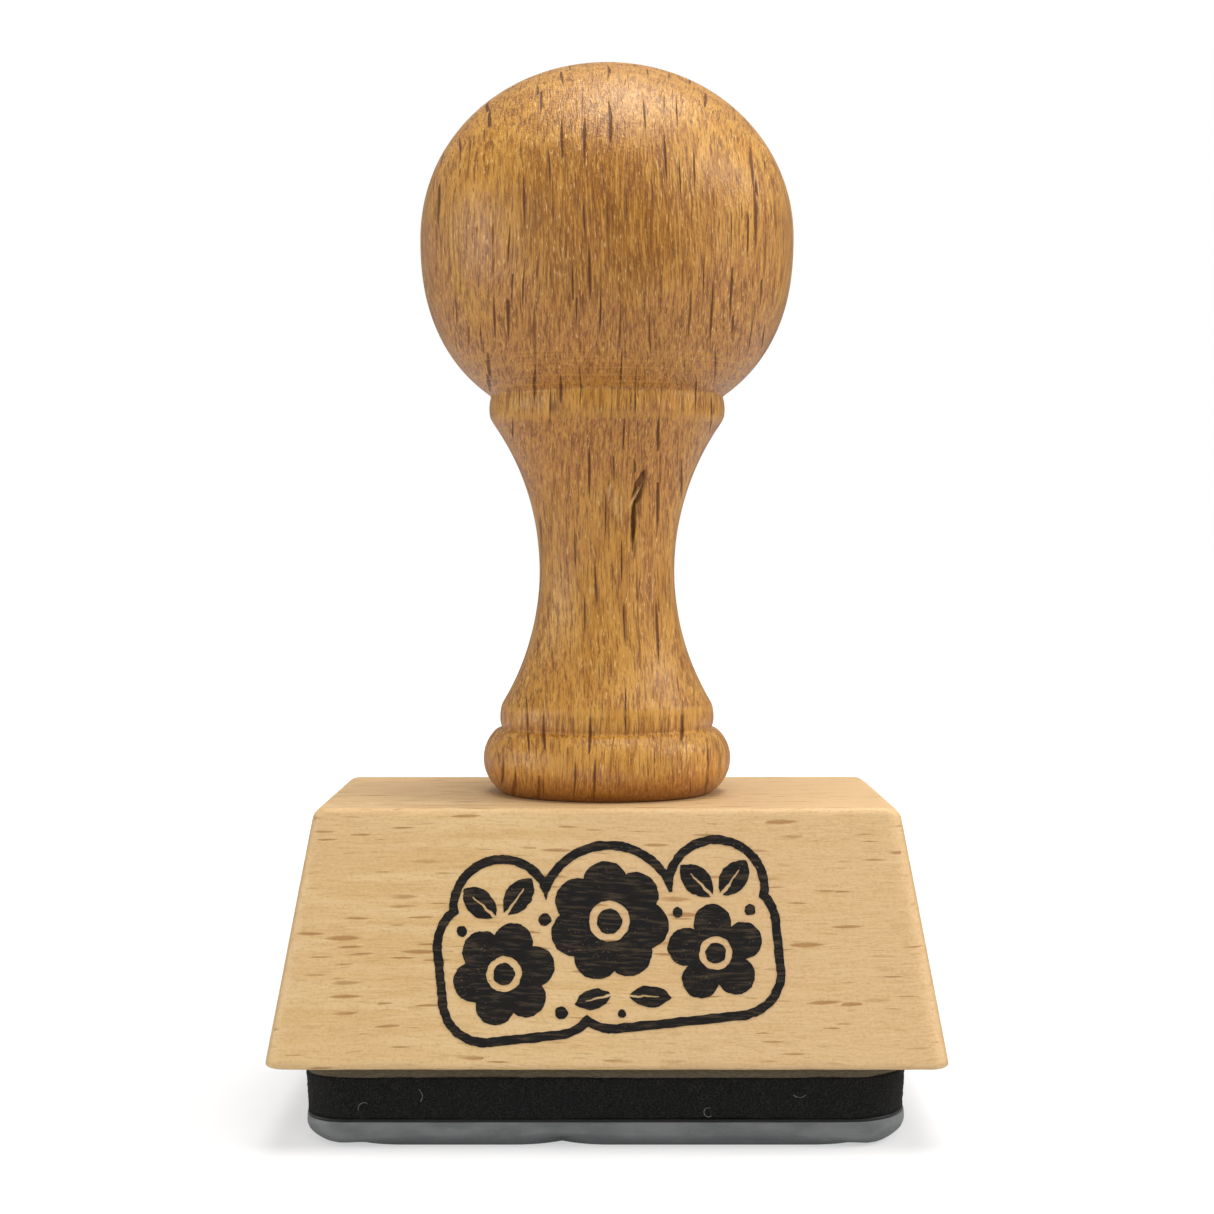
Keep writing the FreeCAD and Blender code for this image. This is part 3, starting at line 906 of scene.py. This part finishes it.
def pad_outline(step):
    """Points and outward directions round the pad, in mm, at an even step and counter-clockwise."""
    half_x = (FOAM_HIGH.x - FOAM_LOW.x) / 2 / MM
    half_y = (FOAM_HIGH.y - FOAM_LOW.y) / 2 / MM
    rows = []
    for number, (sx, sy) in enumerate(((1, -1), (1, 1), (-1, 1), (-1, -1))):
        radius = PAD_CORNER_RIGHT if sx > 0 else PAD_CORNER_LEFT
        for turn in np.linspace(0, math.pi / 2, 24):
            angle = turn + (number - 1) * math.pi / 2
            out = (math.cos(angle), math.sin(angle))
            x = sx * (half_x - radius) + radius * out[0]
            y = sy * (half_y - radius) + radius * out[1]
            rows.append((x, y, *out))
    rows.append(rows[0])
    return even_rows(rows, lambda length: int(length / step) + 1)[:-1]


def pad_layer(name, low, high, step, rough, material, ease=0.06):
    """One glued layer of the pad, whose cut side is uneven by a function of the place."""
    outline = pad_outline(step)
    bottom, top = low.z / MM, high.z / MM
    levels = np.linspace(bottom, top, max(4, int((top - bottom) / step) + 1))
    rings = [[(0.0, 0.0, bottom * MM)]]
    for number, z in enumerate(levels):
        rim = number in (0, len(levels) - 1)
        ring = []
        for x, y, out_x, out_y in outline:
            push = rough((x, y, z)) - (ease if rim else 0.0)
            ring.append(((x + out_x * push) * MM, (y + out_y * push) * MM, z * MM))
        rings.append(ring)
    rings.append([(0.0, 0.0, top * MM)])
    points, faces = loft(rings)
    return mesh_object(name, points, faces, material)


def foam_roughness(place):
    cells = wobble(place, 3.2, 0.035, 2.0) + wobble(place, 1.1, 0.03, 8.0)
    sag = wobble((place[0], place[1], 0), 0.05, 0.12, 4.0)
    rise = (place[2] * MM - FOAM_LOW.z) / (FOAM_HIGH.z - FOAM_LOW.z)
    return cells + sag - 0.12 - FOAM_DRAFT * (1 - rise)


def tape_roughness(place):
    return wobble((place[0], place[1], place[2] * 2), 0.5, 0.06, 6.0) - 0.14


def film_roughness(place):
    return wobble((place[0], place[1], 0), 0.25, 0.06, 9.0) - FOAM_DRAFT - 0.04


def lint_fibres(foam, material):
    """Adds a few thin curved fibres that cling to the foam's front."""
    front = FOAM_LOW.y / MM - 0.02
    depth = Vector((0, 1, 0))
    mesh = bmesh.new()
    mesh.from_mesh(foam.data)
    for x, z, first, last, radius in LINT:
        turns = np.radians(np.linspace(first, last, LINT_STEPS))
        spine = [Vector((x + radius * math.cos(t), front, z + radius * math.sin(t))) for t in turns]
        rings = []
        for number, centre in enumerate(spine):
            ahead = spine[min(number + 1, len(spine) - 1)] - spine[max(number - 1, 0)]
            side = depth.cross(ahead).normalized()
            ring = []
            for angle in np.linspace(0, 2 * math.pi, LINT_SIDES + 1)[:-1]:
                place = centre + LINT_RADIUS * (side * math.cos(angle) + depth * math.sin(angle))
                ring.append(mesh.verts.new(place * MM))
            rings.append(ring)
        fibre = [mesh.faces.new(rings[0][::-1]), mesh.faces.new(rings[-1])]
        for before, ring in itertools.pairwise(rings):
            for k in range(LINT_SIDES):
                after = (k + 1) % LINT_SIDES
                fibre.append(mesh.faces.new((before[k], before[after], ring[after], ring[k])))
        for face in fibre:
            face.material_index = 1
    mesh.normal_update()
    mesh.to_mesh(foam.data)
    mesh.free()
    foam.data.materials.append(material)


# ---- Rubber die

# Steps of the grid and along the printing face's outlines, in mm.
DIE_STEP = 0.17
OUTLINE_STEP = 0.06
# Rise over run of the relief's flanks: near the sheet's edge, and further in than the second distance.
OUTER_SLOPE, INNER_SLOPE = 0.65, 2.0
SLOPE_SPAN = (2.4, 3.4)
# Near the ends the flank is a long even curve: how far from the ends, and how long the curve is.
END_SPAN = (3.0, 10.0)
END_REACH = 4.0
# How high and how far in from the cut edge the plate's lower rim is rounded, at the ends and at the sides.
END_EASE = (0.9, 2.4)
SIDE_EASE = (0.3, 0.9)
# The printing face's rims are worn by this height, over this distance.
FACE_WEAR, WEAR_WIDTH = 0.05, 0.2
# The cut edge, from the lower rim to the film: share of the height, and how far it swells outward.
CUT_EDGE = ((0.12, 0.04), (0.35, 0.07), (0.7, 0.05), (0.94, 0.02), (1.0, -0.04))


class Relief:
    """The depth of the engraving below the printing face, read from the design's die."""

    def __init__(self, node):
        mesh = node.data
        self.deep = self.plate_level(mesh)
        corners = [v.co.copy() for v in mesh.vertices]
        self.tree = BVHTree.FromPolygons(corners, [tuple(p.vertices) for p in mesh.polygons])
        samples = self.face_outline(mesh)
        self.edges = KDTree(len(samples))
        for number, place in enumerate(samples):
            self.edges.insert(place, number)
        self.edges.balance()

    @staticmethod
    def plate_level(mesh):
        """The height of the plate's lower face, which is the commonest level under the plate's top."""
        levels = [round(v.co.z / MM, 3) for v in mesh.vertices if 0.6 < v.co.z / MM < 2.0]
        return max(set(levels), key=levels.count)

    @staticmethod
    def face_outline(mesh):
        """Points along the printing face's outlines, in mm: the edges that only one of its faces has."""
        names = [tuple(round(c / MM, 4) for c in v.co.xy) for v in mesh.vertices]
        counts = {}
        for face in mesh.polygons:
            if all(mesh.vertices[v].co.z < 0.001 * MM for v in face.vertices):
                for a, b in face.edge_keys:
                    key = tuple(sorted((names[a], names[b])))
                    counts[key] = counts.get(key, 0) + 1
        samples = []
        for (a, b), count in counts.items():
            if count == 1:
                a, b = Vector((*a, 0.0)), Vector((*b, 0.0))
                steps = max(1, int((b - a).length / OUTLINE_STEP))
                samples.extend(a.lerp(b, k / steps) for k in range(steps))
        return samples

    def height(self, x, y, to_end, to_side):
        """The surface's height at a point, given its distances to the sheet's end and long side."""
        hit = self.tree.ray_cast(Vector((x, y, -1.0)) * MM, Vector((0, 0, 1)))
        distance = self.edges.find(Vector((x, y, 0.0)))[2]
        if hit[0] is not None and hit[0].z < 0.01 * MM:
            return FACE_WEAR * max(0.0, 1 - distance / WEAR_WIDTH) ** 2
        lift = min(END_EASE[0], round_off(to_end, *END_EASE) + round_off(to_side, *SIDE_EASE))
        slope = np.interp(min(to_end, to_side), SLOPE_SPAN, (OUTER_SLOPE, INNER_SLOPE))
        steep = 1 - (1 - min(1.0, distance * slope / self.deep)) ** 1.5
        gentle = min(1.0, distance / END_REACH) ** 2
        rise = np.interp(to_end, END_SPAN, (gentle, steep))
        return FACE_WEAR + (self.deep - FACE_WEAR) * rise + lift * steep


def round_off(distance, height, width):
    """The rise of a quarter-round edge at a distance inside it."""
    away = max(0.0, 1 - distance / width)
    return height * (1 - math.sqrt(1 - away * away))


def rounded(x, y, half_x, half_y):
    """Moves a point of the rectangle so that the rectangle's corners become the pad's round corners."""
    radius = PAD_CORNER_RIGHT if x > 0 else PAD_CORNER_LEFT
    inner_x, inner_y = half_x - radius, half_y - radius
    u, v = (abs(x) - inner_x) / radius, (abs(y) - inner_y) / radius
    if u <= 0 or v <= 0:
        return x, y
    u, v = u * math.sqrt(1 - v * v / 2), v * math.sqrt(1 - u * u / 2)
    return math.copysign(inner_x + u * radius, x), math.copysign(inner_y + v * radius, y)


def die_underside(half_x, half_y):
    """The engraved face as a grid: its points, its faces, and the numbers of the points round its rim."""
    relief = Relief(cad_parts["rubber_die"])
    count_x, count_y = int(2 * half_x / DIE_STEP), int(2 * half_y / DIE_STEP)
    points = []
    for x in np.linspace(-half_x, half_x, count_x + 1):
        for y in np.linspace(-half_y, half_y, count_y + 1):
            px, py = rounded(x, y, half_x, half_y)
            points.append([px, py, relief.height(px, py, half_x - abs(x), half_y - abs(y))])
    row = count_y + 1
    corners = [i * row + j for i in range(count_x) for j in range(count_y)]
    faces = [(c, c + 1, c + row + 1, c + row) for c in corners]
    rim = [i * row for i in range(count_x)] + [count_x * row + j for j in range(count_y)]
    rim += [i * row + count_y for i in range(count_x, 0, -1)] + list(range(count_y, 0, -1))
    return points, faces, rim


def engraved_die(material):
    """The rubber sheet: the engraved face, the cut edge that rises to the film, and a flat top."""
    half_x, half_y = DIE_HIGH.x / MM - FOAM_DRAFT, DIE_HIGH.y / MM - FOAM_DRAFT
    top = DIE_HIGH.z / MM
    points, faces, rim = die_underside(half_x, half_y)
    before = rim
    for share, swell in CUT_EDGE:
        ring = []
        for x, y, z in [points[number] for number in rim]:
            out = Vector((x / half_x * 0.6, y / half_y, 0.0)).normalized() * swell
            out *= 1 + wobble((x, y, share * 3), 0.3, 0.03, 14.0)
            ring.append(len(points))
            points.append([x + out.x, y + out.y, z + (top - z) * share])
        for k in range(len(rim)):
            after = (k + 1) % len(rim)
            faces.append((before[k], before[after], ring[after], ring[k]))
        before = ring
    centre = len(points)
    points.append([0.0, 0.0, top])
    faces.extend((before[k], before[(k + 1) % len(rim)], centre) for k in range(len(rim)))
    return mesh_object("engraved_die", np.array(points) * MM, faces, material)


# ---- Stage

FLOOR_RADIUS = 4.0
# Just under the printing face, so that the two don't coincide.
FLOOR_LEVEL = -0.03 * MM
FLOOR_SIDES = 96
# The floor's own light: where it rises, in mm from the middle, and from what to what. Light rays see less.
FLOOR_FADE = (60.0, 420.0)
FLOOR_GLOW = (0.52, 0.95)
FLOOR_GLOW_UNSEEN = 0.12

# Area lights: name, place and size in metres, power in watts, and whether glossy surfaces show them.
LIGHTS = (
    ("key", (0.05, -0.01, 0.56), (0.46, 0.30), 2.5, True),
    ("left", (-0.55, -0.10, 0.06), (0.3, 0.4), 1.35, True),
    ("right", (0.46, -0.05, 0.36), (0.2, 0.2), 1.05, True),
    ("low_right", (0.50, -0.16, 0.07), (0.3, 0.3), 0.35, True),
    ("fill", (0.08, -0.52, 0.34), (0.5, 0.3), 0.95, False),
)
LIGHT_TARGET = Vector((0.0, 0.0, 0.05))
WORLD_SEEN, WORLD_LIT = 1.0, 0.3


def add_floor():
    """A pale disc. What the camera sees of it fades to plain white away from the object."""
    shader = Shader("floor")
    point = shader.millimetres()
    grain = shader.noise(point, (0.4, 0.4, 0.4))
    seen = shader.node("LightPath", {}).outputs["Is Camera Ray"]
    glow = shader.fade(shader.vector("LENGTH", point), *FLOOR_FADE, *FLOOR_GLOW)
    glow = shader.math("MAXIMUM", shader.times(glow, seen), FLOOR_GLOW_UNSEEN)
    shader.set(base_color=shader.mix(grain, (0.46, 0.46, 0.46), (0.5, 0.5, 0.5)), roughness=0.9)
    shader.set(specular_ior_level=0.1, emission_color=(1.0, 1.0, 1.0), emission_strength=glow)
    turns = np.linspace(0, 2 * math.pi, FLOOR_SIDES + 1)[:-1]
    ring = [(FLOOR_RADIUS * math.cos(t), FLOOR_RADIUS * math.sin(t), FLOOR_LEVEL) for t in turns]
    mesh_object("floor", ring, [tuple(range(FLOOR_SIDES))], shader.material)


def add_lights():
    for name, place, size, power, glossy in LIGHTS:
        data = bpy.data.lights.new(name, "AREA")
        data.shape = "RECTANGLE"
        data.size, data.size_y = size
        data.energy = power
        light = add_object(name, data)
        light.location = place
        light.rotation_euler = (LIGHT_TARGET - Vector(place)).to_track_quat("-Z", "Y").to_euler()
        light.visible_glossy = glossy


def add_world():
    """An even white surround, brighter to the camera than as a light."""
    world = bpy.data.worlds.new("studio")
    bpy.context.scene.world = world
    world.use_nodes = True
    tree = world.node_tree
    tree.nodes.clear()
    mixed = tree.nodes.new("ShaderNodeMixShader")
    path = tree.nodes.new("ShaderNodeLightPath")
    output = tree.nodes.new("ShaderNodeOutputWorld")
    tree.links.new(path.outputs["Is Camera Ray"], mixed.inputs[0])
    tree.links.new(mixed.outputs[0], output.inputs[0])
    for socket, strength in ((1, WORLD_LIT), (2, WORLD_SEEN)):
        background = tree.nodes.new("ShaderNodeBackground")
        background.inputs["Color"].default_value = (1.0, 1.0, 1.0, 1.0)
        background.inputs["Strength"].default_value = strength
        tree.links.new(background.outputs[0], mixed.inputs[socket])


# ---- Assembly


def place(piece, body, node, slot):
    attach(piece, body)
    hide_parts(node)


def add_foam():
    """The foam pad, which shortens with the die's travel because it joins the two bodies."""
    foam = pad_layer("foam_pad", FOAM_LOW, FOAM_HIGH, FOAM_STEP, foam_roughness, black_foam())
    lint_fibres(foam, lint())
    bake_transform(foam)
    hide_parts("foam_cushion")


def build():
    add_camera()
    add_lights()
    add_world()
    add_floor()
    place(turned_handle(lacquered_beech()), "stamp_body", "handle", "lacquered_beech")
    place(rounded_block(plain_beech()), "stamp_body", "mount_block", "plain_beech")
    place(ragged_print(black_ink()), "stamp_body", "index_print", "black_ink")
    tape = pad_layer("tape_strip", TAPE_LOW, TAPE_HIGH, STRIP_STEP, tape_roughness, kraft_tape())
    place(tape, "stamp_body", "mounting_tape", "kraft_tape")
    film = pad_layer("film_strip", FILM_LOW, FILM_HIGH, STRIP_STEP, film_roughness, black_film(), ease=0.02)
    place(film, "die", "die_film", "black_film")
    place(engraved_die(grey_rubber()), "die", "rubber_die", "grey_rubber")
    add_foam()
    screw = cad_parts["dowel_screw"]
    screw.data.materials.clear()
    screw.data.materials.append(plated_steel())


build()
